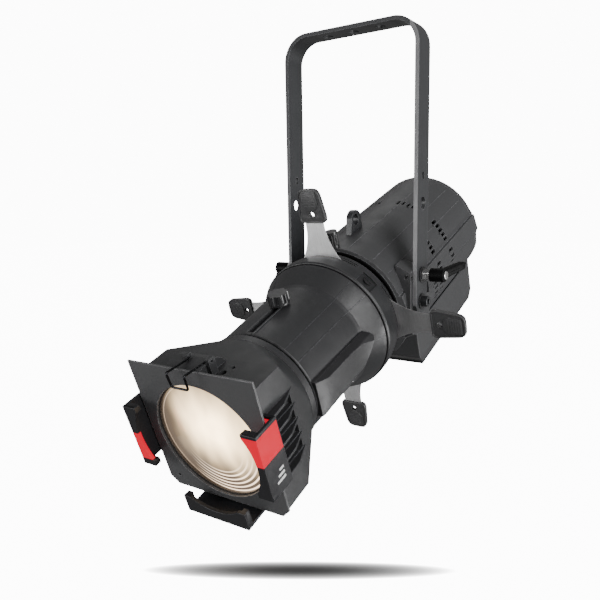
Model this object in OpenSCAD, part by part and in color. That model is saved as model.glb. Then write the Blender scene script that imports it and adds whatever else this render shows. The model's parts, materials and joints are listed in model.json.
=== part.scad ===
// Ellipsoidal spotlight on a yoke.
// Row frame: origin at the centre of the middle hanging hole, on top of the yoke's crossbar,
// +Z up, +X towards the right leg of the yoke, and the beam leaves towards -Y.
// Everything that tilts is drawn in the optical frame: X across, Y up, Z forward along the
// beam, with its origin where the tilt axis crosses the optical axis.

/* [Yoke] */
// Width across the outside of the yoke legs
yoke_span = 228; // [227:1:236]
// Thickness of the yoke's flat bar
bar_t = 6; // [5:1:7]
// Width of the yoke's flat bar
bar_w = 40; // [36:1:44]
// Height from the tilt axis to the top of the crossbar
yoke_drop = 408; // [400:1:440]
// Outer bend radius of the yoke's corners
bend_r = 40; // [30:1:50]
// Diameter of the hanging holes
hang_hole_d = 16; // [12:0.5:18]
// Distance between the hanging holes
hang_pitch = 45; // [40:1:60]
// Distance from the tilt axis up to the lock levers
lock_rise = 40; // [40:0.5:41]
// Distance from the tilt axis up to the spare pivot holes
spare_rise = 145; // [130:1:160]

/* [Pose] */
// Angle of the beam below the horizontal
tilt_deg = 20; // [18:1:24]
// How far the lower shutter is pulled out past the others
lower_pull = 7; // [0:1:10]

/* [Rear housing] */
// Radius of the round rear housing
house_r = 101; // [100:1:102]
// Distance from the tilt axis back to the rear face
rear_s = 300; // [290:1:320]
// Half width of the electronics box
box_half_w = 79; // [74:1:80]
// Depth of the electronics box below the optical axis
box_depth = 154; // [148:1:165]
// Distance from the tilt axis back to the front of the electronics box
box_front_s = 38; // [36:1:44]
// Wall thickness of the mouldings and castings
wall = 3; // [2.5:0.5:3]

/* [Barrel] */
// Radius of the barrel at its front end
barrel_front_r = 81; // [80.5:0.5:83]
// Radius of the barrel just before the flare
barrel_rear_r = 85; // [84:0.5:87]
// Largest radius of the gate ring
gate_r = 105; // [104:0.5:106]
// Distance from the tilt axis to the front end of the barrel
barrel_front_s = 262; // [258:1:264]
// Outer radius of the sliding lens tube
tube_r = 76; // [74:0.5:76]
// Focus travel of the lens tube
focus_travel = 60; // [40:1:60]

/* [Accessory holder] */
// Width and height of the front plate
plate_w = 188; // [184:1:190]
// Distance from the tilt axis to the front face of the front plate
plate_s = 374; // [372:1:378]
// Size of the square accessory that the brackets take
frame_size = 190.5; // [190:0.5:190.5]
// Depth of the accessory slot
slot_depth = 20; // [16:0.5:22]
// Radius of the front lens
lens_r = 80; // [78:0.5:80]

/* [Shutters] */
// Thickness of the shutter blades
blade_t = 1; // [0.8:0.1:1]
// Distance from the optical axis to the blade's inner edge when pulled out
blade_in = 39; // [38.5:0.5:42]
// Distance from the optical axis to the handle's inner end
grip_in = 153; // [152:1:156]
// Length of the shutter handles
grip_len = 50; // [46:1:54]

/* [Hidden] */
$fn = 96;

black = [0.13, 0.13, 0.14];
grey = [0.24, 0.24, 0.26];
plastic = [0.07, 0.07, 0.08];
steel = [0.72, 0.72, 0.74];
brass = [0.78, 0.62, 0.3];
glass = [0.95, 0.9, 0.8];
board_green = [0.1, 0.4, 0.2];

eps = 0.01;                      // cutters overshoot by this much
gap = 0.4;                       // air between pieces that move past each other
run = 0.05;                      // radial clearance of a running fit

// Yoke, levers and tilt axis
leg_in = yoke_span / 2 - bar_t;  // inner face of a leg
leg_out = yoke_span / 2;         // outer face of a leg
pivot_r = 6;
stud_r = 5;
washer_t = 2;
washer_r = 12;
lock_r = lock_rise;              // radius of the arc slot about the tilt axis
tilt_up_deg = 25;                // travel from rest with the lens going up
tilt_down_deg = 70;              // travel from rest with the lens going down
slot_play_deg = 9;               // arc slot past the stud's travel
nut_play_deg = 13;               // nut pocket past the stud's travel

// Rear housing
side_flat = 95;                  // flat sides that the hubs stand on
hub_r = 52;
hub_root_r = 61;                 // the hub's cone meets the housing at this radius
hub_face = leg_in - gap;         // outer face of a hub
seat_play = 0.3;                 // air round a hub in its seat
neck_s = 41;                     // front end of the housing's neck
neck_r = 94;
bearing_r = 88;
bearing_in_r = 70;
seam_h = 24;                     // height of the seam between the upper and lower shells
hub_front_s = 31.5;              // the hubs stop short of the housing's neck
body_front_s = 30;               // the housing's body narrows to the neck from here
fan_s = -290;                    // rear face of the fan
fan_w = 120;
fan_t = 25;
rear_t = 10;                     // thickness of the rear cover
panel_h = -82;                   // height of the control panel's centre
socket_h = -124;                 // height of the row of sockets
// Points of the housing's outline, right half, from the top round to the electronics box
crown_r = house_r - 2.7;         // radius of the upper shell's crown
house_half = concat([for (a = [0:6:72]) [crown_r * sin(a), crown_r * cos(a)]],
                    [[97, seam_h + 1.4], [95.6, seam_h + 0.5], [95.6, seam_h - 0.3],
                     [99.5, seam_h - 1.2], [104.3, -4], [101, -12], [99, -40], [86, -66],
                     [box_half_w, -74], [0, -74]]);

// Barrel
gate_rear_s = neck_s + 2.5;
gate_front_s = 101.5;
flare_s = 140;                   // where the barrel's flare ends
bearing_lip_s = 52.5;
bearing_rear_s = 17;
blade_s = [69, 61, 65, 73];      // planes of the top, right, bottom and left blades
blade_turn = [0, -90, 180, 90];  // directions of the same four blades
blade_pull = [0, 0, lower_pull, 0];
knob_s = 188;                    // focus knob along the barrel
tube_rear_s = 158;
clip_h = 101;                    // pivot of the wire clip
clip_s = 350;
clip_w = 27;
wire_r = 1.4;
cover_turn = -47;                // direction of the gobo slot cover round the gate ring
cover_rear_s = 70;
cover_screw_s = 79;
knob_turn_s = 33;                // rotation lock knob along the neck
eye_s = -39;

// Optical frame to row frame
module optical() {
  translate([0, 0, -yoke_drop])
    rotate([90 + tilt_deg, 0, 0])
      children();
}

// Row frame at the tilt axis
module pivot() {
  translate([0, 0, -yoke_drop])
    children();
}

// Cylinder along X between two places
module rod_x(r, x0, x1) {
  translate([x0, 0, 0])
    rotate([0, 90, 0])
      cylinder(r = r, h = x1 - x0);
}

// Tube along Z between two places
module tube_z(r_out, r_in, z0, z1) {
  difference() {
    translate([0, 0, z0])
      cylinder(r = r_out, h = z1 - z0);
    translate([0, 0, z0 - 1])
      cylinder(r = r_in, h = z1 - z0 + 2);
  }
}

// Box given by its corners
module block(low, high) {
  translate(low)
    cube(high - low);
}

// Straight round wire between two points, with round ends
module wire(a, b, r) {
  d = b - a;
  len = norm(d);
  translate(a)
    rotate([0, acos(d[2] / len), atan2(d[1], d[0])])
      cylinder(r = r, h = len, $fn = 24);
  // the ball is a little fatter than the wire, so that their surfaces cross
  translate(b)
    sphere(r = r * 1.12, $fn = 24);
}

// Cap screw with a hexagon socket, its head standing on Z = 0
module cap_screw(head_r, head_t, shank_r, shank_len) {
  difference() {
    cylinder(r = head_r, h = head_t, $fn = 32);
    translate([0, 0, head_t * 0.4])
      cylinder(r = head_r * 0.55, h = head_t, $fn = 6);
  }
  if (shank_len > 0)
    translate([0, 0, -shank_len])
      cylinder(r = shank_r, h = shank_len + head_t * 0.2, $fn = 32);
}

// Rectangle with round corners
module round_rect(w, h, r) {
  square([w, h - 2 * r], center = true);
  square([w - 2 * r, h], center = true);
  for (sx = [-1, 1])
    for (sy = [-1, 1])
      translate([sx * (w / 2 - r), sy * (h / 2 - r)])
        circle(r = r);
}

// ---------------------------------------------------------------- yoke

// U outline in X and Z, from the crossbar's top down to the leg ends
module u_outline(span, top, r, foot) {
  translate([-span / 2, foot])
    square([span, top - r - foot]);
  translate([-span / 2 + r, foot])
    square([span - 2 * r, top - foot]);
  for (side = [-1, 1])
    translate([side * (span / 2 - r), top - r])
      circle(r = r);
}

module yoke() {
  foot = -yoke_drop - bar_w / 2;
  color(black)
    difference() {
      intersection() {
        rotate([90, 0, 0])
          translate([0, 0, -bar_w / 2])
            linear_extrude(height = bar_w)
              difference() {
                u_outline(yoke_span, 0, bend_r, foot);
                u_outline(yoke_span - 2 * bar_t, -bar_t, bend_r - bar_t, foot - 1);
              }
        union() {
          block([-yoke_span, -bar_w / 2, -yoke_drop], [yoke_span, bar_w / 2, 1]);
          pivot() rod_x(bar_w / 2, -yoke_span, yoke_span);
        }
      }
      for (i = [-1, 0, 1])
        translate([i * hang_pitch, 0, -bar_t - 1])
          cylinder(d = hang_hole_d, h = bar_t + 2);
      pivot() rod_x(pivot_r + 0.1, -yoke_span, yoke_span);
      pivot() translate([0, 0, lock_rise]) rod_x(stud_r + run, -yoke_span, yoke_span);
      pivot() translate([0, 0, spare_rise]) rod_x(9.5, -yoke_span, yoke_span);
      pivot() spare_slots();
    }
}

// Upright slots above the spare pivot holes
module spare_slots() {
  for (dz = [-2.5, 2.5])
    translate([0, 0, spare_rise + lock_rise + dz])
      rod_x(3.2, -yoke_span, yoke_span);
  block([-yoke_span, -3.2, spare_rise + lock_rise - 2.5],
        [yoke_span, 3.2, spare_rise + lock_rise + 2.5]);
}

module pivot_bolts() {
  color(plastic)
    for (side = [-1, 1])
      pivot()
        translate([side * (leg_out + washer_t), 0, 0])
          rotate([0, side * 90, 0])
            cap_screw(8, 9, pivot_r, leg_out + washer_t - side_flat - 1);
}

module yoke_washers() {
  color(plastic)
    for (side = [-1, 1])
      pivot()
        for (row = [[0, pivot_r + 0.1], [lock_rise, stud_r + run]])
          translate([side * (leg_out + washer_t / 2), 0, row[0]])
            rotate([0, 90, 0])
              tube_z(washer_r, row[1], -washer_t / 2, washer_t / 2);
}

// Square nuts that ride in the arc pockets of the hubs
module clamp_nuts() {
  nut_w = 14;
  color(steel)
    for (side = [-1, 1])
      pivot()
        translate([side * (leg_in - 7), 0, lock_rise])
          rotate([0, 90, 0])
            difference() {
              translate([-nut_w / 2, -nut_w / 2, -2.2])
                cube([nut_w, nut_w, 4.4]);
              translate([0, 0, -3])
                cylinder(r = stud_r + run, h = 6);
            }
}

// ---------------------------------------------------------------- tilt lock levers

lever_hex_x = leg_out + washer_t + gap;
lever_hub_x = lever_hex_x + 12;
lever_end_x = lever_hub_x + 21;

// Drawn for the right side, along +X from the leg
module lever_stud() {
  color(steel) {
    rod_x(stud_r, leg_in - 9.5, lever_hub_x);
    translate([lever_hex_x, 0, 0])
      rotate([0, 90, 0])
        cylinder(r = 9.2, h = lever_hub_x - lever_hex_x, $fn = 6);
    rod_x(6.2, lever_end_x, lever_end_x + 3);
  }
}

// Hub and arm; the arm leans outwards and points along +Y before it is turned
module lever_body() {
  arm_len = 55;
  arm_lean = 13;
  color(plastic) {
    rod_x(10, lever_hub_x, lever_end_x);
    hull() {
      translate([lever_end_x - 12, 0, 0]) rod_x(7.2, 0, 8);
      translate([lever_end_x - 11 + arm_lean, arm_len, 0]) rod_x(5.6, 0, 8);
    }
  }
}

module at_right_lever() {
  pivot() translate([0, 0, lock_rise]) rotate([11, 0, 0]) children();
}

module at_left_lever() {
  pivot() translate([0, 0, lock_rise]) mirror([1, 0, 0]) rotate([-102, 0, 0]) children();
}

module right_lever_stud() {
  at_right_lever() lever_stud();
}

module right_lever() {
  at_right_lever() lever_body();
}

module left_lever_stud() {
  at_left_lever() lever_stud();
}

module left_lever() {
  at_left_lever() lever_body();
}

// ---------------------------------------------------------------- rear housing

// Closed outline of the housing, drawn in by inset
module house_profile(inset) {
  k = 1 - inset / house_r;
  left = [for (i = [len(house_half) - 1:-1:1]) [-house_half[i][0], house_half[i][1]]];
  intersection() {
    circle(r = house_r + 4 - inset);
    polygon([for (p = concat(house_half, left)) p * k]);
  }
}

// Solid envelope of the housing: body from s0, seats for the hubs, and round neck
module house_envelope(inset, s0, body_front, neck_front) {
  difference() {
    translate([0, 0, s0])
      linear_extrude(height = body_front + 6 - s0)
        house_profile(inset);
    // the front edge is bevelled down to the neck
    rotate_extrude()
      polygon([[house_r + 5, body_front], [140, body_front], [140, body_front + 7],
               [neck_r - inset - 1.4, body_front + 7], [neck_r - inset, body_front + 6]]);
    for (side = [-1, 1])
      hub_seat(side, inset);
  }
  translate([0, 0, -box_front_s])
    cylinder(r = neck_r - inset, h = neck_front + box_front_s);
}

// Round seat cut into the housing's side for a hub
module hub_seat(side, inset) {
  flat = side_flat - inset;
  intersection() {
    rod_x(hub_r + seat_play + inset, side > 0 ? flat : -flat - 40, side > 0 ? flat + 40 : -flat);
    hub_side_view(seat_play + inset);
  }
}

// Side view of a hub: its upper front is cut away, so that the leg hides it
module hub_side_view(play) {
  rotate([0, -90, 0])
    linear_extrude(height = 300, center = true)
      polygon([[-80, -80], [hub_front_s + play, -80], [hub_front_s + play, -8], [play, 80],
               [-80, 80]]);
}

// Hollow housing, open into the electronics box
module house_shell() {
  difference() {
    house_envelope(0, -rear_s + rear_t, body_front_s, neck_s);
    house_envelope(wall, -rear_s, bearing_rear_s - 3, bearing_rear_s);
    cylinder(r = bearing_r, h = 60);
    block([-box_half_w + wall, -100, -rear_s], [box_half_w - wall, -60, -box_front_s - wall]);
  }
}

// Ventilation slots through both sides of a shell, ending at s; each cell is its angle round
// from the top, and 1 if a thin hooked arm runs on from the slot's front end
module vents(s, cells) {
  slot_w = 5;
  slot_len = 14;
  arm_w = 2.8;
  arm_len = 11;
  for (m = [0, 1])
    mirror([m, 0, 0])
      for (cell = cells)
        rotate([0, 0, -cell[0]]) {
          block([-slot_w / 2, 85, s - slot_len], [slot_w / 2, 112, s]);
          if (cell[1] > 0)
            translate([-slot_w / 2, 0, s - arm_w])
              rotate([0, -37, 0])
                block([0, 85, 0], [arm_len, 112, arm_w]);
        }
}

module upper_shell() {
  optical()
    color(grey)
      difference() {
        intersection() {
          house_shell();
          block([-120, seam_h, -rear_s], [120, 120, 60]);
        }
        vents(-160, [[10.5, 1], [15.5, 0], [21, 1], [26, 0]]);
        vents(-160, [[52, 1], [57, 0], [62, 1], [67, 0], [71.8, 0]]);
        vents(-104, [[57, 1], [62, 0], [67, 0], [71.8, 0]]);
        translate([0, 80, knob_turn_s])
          rotate([-90, 0, 0])
            cylinder(r = 3 + run, h = 40);
      }
}

module lower_shell() {
  optical()
    color(grey)
      difference() {
        intersection() {
          house_shell();
          block([-120, -120, -rear_s], [120, seam_h, 60]);
        }
        vents(-160, [[84, 1], [90, 0], [95.5, 0], [101, 0]]);
        vents(-104, [[84, 1], [89, 0]]);
        vents(-84, [[98, 1], [103, 0], [108, 1], [113, 0]]);
        vents(-108, [[100, 0], [105, 0], [110, 0], [115, 0]]);
      }
}

// Cross-section of the electronics box, drawn in by inset
module box_section(inset, top, bottom) {
  w = box_half_w - inset;
  knee = -box_depth + 22;
  polygon([[-w, top], [-w, knee], [-w + 6, bottom], [w - 6, bottom], [w, knee], [w, top]]);
}

// Solid with the box's cross-section and its sloping front
module box_solid(inset, top, bottom, rear) {
  front = -box_front_s - inset;
  slope = 20;
  intersection() {
    translate([0, 0, rear])
      linear_extrude(height = front - rear)
        box_section(inset, top, bottom);
    rotate([0, -90, 0])
      linear_extrude(height = 4 * box_half_w, center = true)
        polygon([[rear, top], [rear, bottom], [front - slope, bottom],
                 [front, bottom + slope + inset], [front, top]]);
  }
}

box_top = -74;                   // the box meets the lower shell here
base_t = 3;

module electronics_box() {
  optical()
    color(grey)
      difference() {
        box_solid(0, box_top, -box_depth + base_t, -rear_s + rear_t);
        box_solid(wall, box_top + 1, -box_depth + base_t - 1, -rear_s);
      }
}

module base_plate() {
  w = box_half_w - 6;
  optical()
    color(black)
      difference() {
        block([-w, -box_depth, -rear_s + rear_t], [w, -box_depth + base_t, -box_front_s - 18]);
        for (i = [0:5])
          block([-40, -box_depth - 1, -120 - i * 20], [40, -box_depth + base_t + 1, -112 - i * 20]);
      }
}

module rear_outline() {
  house_profile(0);
  box_section(0, -60, -box_depth);
}

module rear_cover() {
  optical()
    color(grey)
      difference() {
        translate([0, 0, -rear_s])
          linear_extrude(height = rear_t)
            rear_outline();
        translate([0, 12, -rear_s - 1])
          cylinder(r = 60, h = rear_t + 2);
        translate([0, panel_h, -rear_s - 1])
          linear_extrude(height = rear_t + 2)
            square([104, 24], center = true);
        for (x = [-54, -20, 14, 48])
          translate([x, socket_h, -rear_s - 1])
            cylinder(r = 13, h = rear_t + 2);
        translate([66.5, panel_h, -rear_s - 1])
          cylinder(r = 6, h = rear_t + 2);
      }
}

module fan_grille() {
  optical()
    color(black)
      translate([0, 12, -rear_s]) {
        for (r = [60:-11:16])
          tube_z(r, r - 2.4, 1, 3.4);
        for (a = [0:60:120])
          rotate([0, 0, a])
            block([-59, -1.2, 3.2], [59, 1.2, 5.6]);
      }
}

module fan_frame() {
  optical()
    color(plastic)
      translate([0, 12, fan_s]) {
        difference() {
          translate([-fan_w / 2, -fan_w / 2, 0])
            cube([fan_w, fan_w, fan_t]);
          translate([0, 0, -1])
            cylinder(r = 57, h = fan_t + 2);
          for (x = [-1, 1])
            for (y = [-1, 1])
              translate([x * 52, y * 52, -1])
                cylinder(r = 2.2, h = fan_t + 2);
        }
        for (a = [0:90:90])
          rotate([0, 0, a + 20])
            block([-58, -4, fan_t - 3], [58, 4, fan_t]);
        cylinder(r = 4, h = fan_t);
      }
}

module fan_rotor() {
  optical()
    color(plastic)
      translate([0, 12, fan_s])
        difference() {
          union() {
            translate([0, 0, 2])
              cylinder(r = 20, h = 18);
            for (i = [0:6])
              rotate([0, 0, i * 360 / 7])
                translate([18, 0, 11])
                  rotate([38, 0, 0])
                    translate([0, -9, -0.9])
                      cube([36, 18, 1.8]);
          }
          cylinder(r = 4 + run, h = fan_t);
        }
}

module heat_sink() {
  optical()
    color(steel) {
      translate([0, 8, -70])
        cylinder(r = 76, h = 12);
      for (i = [-7:7])
        block([i * 9.6 - 1.2, 8 - sqrt(74 * 74 - i * i * 92), -190],
              [i * 9.6 + 1.2, 8 + sqrt(74 * 74 - i * i * 92), -70]);
    }
}

module led_board() {
  optical() {
    color("white")
      translate([0, 0, -58])
        cylinder(r = 44, h = 2);
    color([1, 0.85, 0.3])
      translate([0, 0, -56])
        cylinder(r = 16, h = 1.5);
  }
}

module condenser_lens() {
  optical()
    color(glass)
      translate([0, 0, 26])
        rotate_extrude()
          polygon(concat([[0, -6], [bearing_in_r, -6]],
                         [for (a = [0:7.5:90]) [bearing_in_r * cos(a), 16 * sin(a)]]));
}

// Ring sector about the tilt axis, its angles measured from +Y back towards -Z
module hub_arc(r0, r1, a0, a1, x0, x1) {
  translate([x0, 0, 0])
    rotate([0, 90, 0])
      rotate([0, 0, 90 - a1])
        rotate_extrude(angle = a1 - a0)
          translate([r0, 0])
            square([r1 - r0, x1 - x0]);
}

// Hub on the right side, in the optical frame's axes
module hub() {
  low = tilt_deg - tilt_up_deg;
  high = tilt_deg + tilt_down_deg;
  difference() {
    intersection() {
      union() {
        rod_x(hub_r, 60, 100);
        translate([84, 0, 0])
          rotate([0, 90, 0])
            cylinder(r1 = hub_root_r, r2 = hub_r - 1, h = hub_face - 84);
      }
      hub_side_view(0);
    }
    house_envelope(0, -rear_s, body_front_s, neck_s);
    rod_x(8, 50, 120);
    hub_arc(lock_r - stud_r - 0.4, lock_r + stud_r + 0.4,
                low - slot_play_deg, high + slot_play_deg, 102, 120);
    hub_arc(lock_r - 8.3, lock_r + 8.3, low - nut_play_deg, high + nut_play_deg,
                leg_in - 9.8, leg_in - 4.3);
  }
}

module side_hubs() {
  optical()
    color(black) {
      hub();
      mirror([1, 0, 0]) hub();
    }
}

module tilt_bushes() {
  optical()
    color(brass)
      for (side = [-1, 1])
        translate([side * (side_flat + hub_face) / 2, 0, 0])
          rotate([0, 90, 0])
            tube_z(8, pivot_r + run, -(hub_face - side_flat) / 2, (hub_face - side_flat) / 2);
}

// Cast eye for the safety cable, leaning back over the housing's crown
module safety_eye() {
  eye_t = 10;
  eye_r = 15.5;
  eye_h = 115;
  optical()
    color(black)
      difference() {
        rotate([0, -90, 0])
          linear_extrude(height = eye_t, center = true)
            difference() {
              union() {
                polygon([[eye_s - 15, 92], [eye_s + 27, 92], [eye_s + 13.5, 122], [eye_s - 13, 122]]);
                translate([eye_s, eye_h]) circle(r = eye_r);
              }
              translate([eye_s + 2, eye_h + 1]) circle(r = 8.5);
            }
        house_envelope(0, -rear_s, body_front_s, neck_s);
      }
}

module rotation_bearing() {
  optical()
    color(steel)
      difference() {
        union() {
          translate([0, 0, bearing_rear_s]) cylinder(r = bearing_r, h = bearing_lip_s - bearing_rear_s);
          translate([0, 0, bearing_lip_s]) cylinder(r = bearing_r + 2.5, h = 3);
        }
        cylinder(r = bearing_in_r, h = 80);
        translate([0, 80, knob_turn_s]) rotate([-90, 0, 0]) cylinder(r = 3 + run, h = 40);
      }
}

module driver_board() {
  optical() {
    color(board_green)
      block([-64, -148, -270], [64, -146.4, -70]);
    color(plastic) {
      block([-50, -146.4, -130], [-20, -124, -90]);
      block([0, -146.4, -140], [44, -120, -96]);
      block([-40, -146.4, -220], [30, -128, -170]);
    }
    color(steel)
      for (z = [-240:22:-160])
        translate([52, -146.4, z])
          rotate([-90, 0, 0])
            cylinder(r = 8, h = 22);
  }
}

button_x = [12, 22, 32, 42];

module control_panel() {
  optical()
    color(plastic)
      translate([0, panel_h, -rear_s])
        difference() {
          translate([0, 0, -1.5])
            linear_extrude(height = 6)
              square([103.8, 23.8], center = true);
          translate([-26, 0, -3])
            linear_extrude(height = 4)
              square([42, 16], center = true);
          for (x = button_x)
            translate([x, 0, -3])
              cylinder(r = 4.4, h = 10);
        }
}

module display_window() {
  optical()
    color("black")
      translate([-26, panel_h, -rear_s - 0.8])
        linear_extrude(height = 1.8)
          square([42, 16], center = true);
}

module button(x) {
  optical()
    color(steel)
      translate([x, panel_h, -rear_s - 3.5])
        cylinder(r = 4, h = 8);
}

module menu_button() {
  button(button_x[0]);
}

module up_button() {
  button(button_x[1]);
}

module down_button() {
  button(button_x[2]);
}

module enter_button() {
  button(button_x[3]);
}

// Panel socket: flange, body and a round recess
module socket(x, depth) {
  translate([x, socket_h, -rear_s])
    difference() {
      union() {
        translate([0, 0, -2])
          linear_extrude(height = 2)
            round_rect(29, 31, 3);
        cylinder(r = 12.9, h = 26);
      }
      translate([0, 0, -3])
        cylinder(r = 10, h = depth + 3);
    }
}

// Contact pins standing in a socket's recess, on a circle open towards one side
module pins(x, depth, count, r) {
  for (i = [0:count - 1])
    rotate([0, 0, 0])
      translate([x, socket_h, -rear_s + depth - 6])
        rotate([0, 0, 180 + (i - (count - 1) / 2) * 60])
          translate([6.3, 0, 0])
            cylinder(r = r, h = 8, $fn = 24);
}

module data_sockets() {
  optical()
    color(plastic) {
      socket(-54, 12);
      socket(-20, 12);
      pins(-54, 12, 5, 0.9);
      pins(-20, 12, 5, 0.9);
    }
}

module power_sockets() {
  optical()
    color([0.2, 0.25, 0.5]) {
      socket(14, 14);
      socket(48, 14);
    }
}

module fuse_holder() {
  optical()
    color(plastic)
      translate([66.5, panel_h, -rear_s]) {
        cylinder(r = 5.9, h = 30);
        translate([0, 0, -5])
          cylinder(r = 7.5, h = 5);
      }
}

module housing_screws() {
  optical()
    color(steel) {
      for (side = [-1, 1]) {
        for (z = [-70, -170, -270])
          translate([side * (box_half_w - 14), -box_depth, z])
            rotate([90, 0, 0])
              cap_screw(3, 1.6, 1.4, 0);
        for (h = [-145, 74])
          translate([side * (h < 0 ? 70 : 58), h, -rear_s])
            rotate([180, 0, 0])
              cap_screw(3.2, 1.8, 1.4, 0);
      }
    }
}

module box_feet() {
  optical()
    color(plastic)
      for (side = [-1, 1])
        for (z = [-250, -90])
          translate([side * 52, -box_depth - 5, z])
            rotate([-90, 0, 0])
              cylinder(r = 7, h = 5);
}

// Knurled lock knob and its stud, standing out of the neck
module rotation_knob() {
  flutes = 14;
  knob_r = 9.5;
  optical()
    color(plastic)
      translate([0, 0, knob_turn_s])
        rotate([-90, 0, 0]) {
          translate([0, 0, 85])
            cylinder(r = 3, h = 20);
          translate([0, 0, 100])
            difference() {
              cylinder(r = knob_r, h = 25);
              for (i = [0:flutes - 1])
                rotate([0, 0, i * 360 / flutes])
                  translate([knob_r + 0.5, 0, 4])
                    cylinder(r = 1.5, h = 17, $fn = 16);
            }
        }
}

// ---------------------------------------------------------------- barrel and gate

// Opening for one blade through the gate ring
module blade_slit(turn, s) {
  rotate([0, 0, turn])
    block([-55, 60, s - 1.3], [55, 120, s + 1.3]);
}

module gate_ring() {
  optical()
    color(black)
      difference() {
        rotate_extrude()
          polygon([[bearing_r + run, gate_rear_s], [91, gate_rear_s], [91.5, 50.5], [97, 51], [100, 58],
                   [gate_r - 1.5, 74], [gate_r, 84], [gate_r, 97], [gate_r - 2, gate_front_s],
                   [96, gate_front_s], [92, 97], [92, bearing_lip_s - gap],
                   [bearing_r + run, bearing_lip_s - gap]]);
        for (i = [0:3])
          blade_slit(blade_turn[i], blade_s[i]);
        blade_slit(0, 63);
        cover_recess(0.3);
      }
}

// Space of the gobo slot cover, let into the ring
module cover_recess(play) {
  rotate([0, 0, cover_turn])
    block([-13 - play, 96.5, cover_rear_s - play], [13 + play, 120, 97 + play]);
}

module gobo_cover() {
  optical()
    color(grey)
      difference() {
        rotate([0, 0, cover_turn])
          block([-13, 96.5, cover_rear_s], [13, 100.5, 97]);
        rotate([0, 0, cover_turn])
          translate([0, 90, cover_screw_s])
            rotate([-90, 0, 0])
              cylinder(r = 2 + run, h = 20);
      }
}

module cover_screw() {
  optical()
    color(plastic)
      rotate([0, 0, cover_turn])
        translate([0, 0, cover_screw_s])
          rotate([-90, 0, 0]) {
            translate([0, 0, 97])
              cylinder(r = 2, h = 4);
            translate([0, 0, 100.5 + gap])
              difference() {
                cylinder(r = 6.5, h = 2.2);
                translate([-8, -0.7, 1.2])
                  cube([16, 1.4, 2]);
              }
          }
}

module gate_plate() {
  optical()
    color(steel)
      tube_z(92, 37.5, 76, 78.5);
}

// Barrel wall as a solid of revolution
module barrel_body() {
  inner_r = tube_r + gap;
  rotate_extrude()
    polygon([[gate_r - 2, gate_front_s], [gate_r - 3, 106], [96, 118], [barrel_rear_r + 2, 134],
             [barrel_rear_r, flare_s + 2], [barrel_front_r, barrel_front_s], [inner_r, barrel_front_s],
             [inner_r, 146], [barrel_rear_r - 2, flare_s - 4], [98, 106], [98, gate_front_s]]);
}

// Focus slot along the top of the barrel
module focus_slot() {
  w = 4.2;
  for (s = [knob_s, knob_s + focus_travel + 4])
    translate([0, 60, s])
      rotate([-90, 0, 0])
        cylinder(r = w, h = 40);
  block([-w, 60, knob_s], [w, 100, knob_s + focus_travel + 4]);
}

module barrel_upper() {
  optical()
    color(grey)
      difference() {
        intersection() {
          barrel_body();
          block([-120, 0, 90], [120, 120, 300]);
        }
        focus_slot();
      }
}

module barrel_lower() {
  optical()
    color(grey)
      intersection() {
        barrel_body();
        block([-120, -120, 90], [120, 0, 300]);
      }
}

// Solid that fills everything inside the barrel's outer surface
module barrel_fill() {
  rotate_extrude()
    polygon([[0, 90], [gate_r - 2, 90], [gate_r - 2, gate_front_s], [gate_r - 3, 106], [96, 118],
             [barrel_rear_r + 2, 134], [barrel_rear_r, flare_s + 2], [barrel_front_r, barrel_front_s],
             [barrel_front_r - 1, 300], [0, 300]]);
}

pod_bottom_h = -28;

// Plan, end view and side view of a pod on the right side
module pod_solid() {
  front = barrel_front_s - 1;
  intersection() {
    rotate([90, 0, 0])
      translate([0, 0, -40])
        linear_extrude(height = 80)
          polygon([[65, 102], [101.5, 106], [97, 125], [92.5, 150], [91, 175], [90, 238], [85, front],
                   [65, front]]);
    linear_extrude(height = front + 10)
      polygon([[60, 24], [84, 22.5], [91, 15], [97, 4], [98, -8], [92, -20], [86, pod_bottom_h],
               [60, pod_bottom_h]]);
    rotate([0, -90, 0])
      translate([0, 0, -120])
        linear_extrude(height = 80)
          polygon([[114, 17], [141, 26], [front + 5, 26], [front + 5, -30], [168, -30], [140, -10]]);
  }
}

module side_pods() {
  optical()
    color(black)
      for (m = [0, 1])
        mirror([m, 0, 0])
          difference() {
            pod_solid();
            barrel_fill();
          }
}

module barrel_screws() {
  optical()
    color(steel)
      for (side = [-1, 1])
        for (s = [180, 245])
          translate([side * 82, pod_bottom_h, s])
            rotate([90, 0, 0])
              cap_screw(2.6, 2, 1.4, 0);
}

// ---------------------------------------------------------------- shutters

// Half width of a blade at a distance from the optical axis
function blade_half(h) = h < 88 ? 38 : 15 + 23 * pow((grip_in - h) / (grip_in - 88), 2.2);

// Blade pointing up: wide inside the gate, narrowing in a trumpet curve to the handle
module blade_outline() {
  steps = 16;
  root = [for (i = [0:steps]) 88 + i * (grip_in - 88) / steps];
  right = concat([[32, blade_in], [38, blade_in + 6]], [for (h = root) [blade_half(h), h]],
                 [[15, grip_in + 14]]);
  left = [for (i = [len(right) - 1:-1:0]) [-right[i][0], right[i][1]]];
  difference() {
    polygon(concat(right, left));
    translate([0, grip_in + 13]) circle(r = 4);
  }
}

// Handle pointing up: widest near its ears, narrowing to a round tip
module grip_outline() {
  polygon([[-18, 0], [-21, 3], [-22, 11], [-15, grip_len - 6], [-11, grip_len],
           [11, grip_len], [15, grip_len - 6], [22, 11], [21, 3], [18, 0]]);
}

module blade(i) {
  optical()
    color(steel)
      rotate([0, 0, blade_turn[i]])
        translate([0, blade_pull[i], blade_s[i] - blade_t / 2])
          linear_extrude(height = blade_t)
            blade_outline();
}

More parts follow.
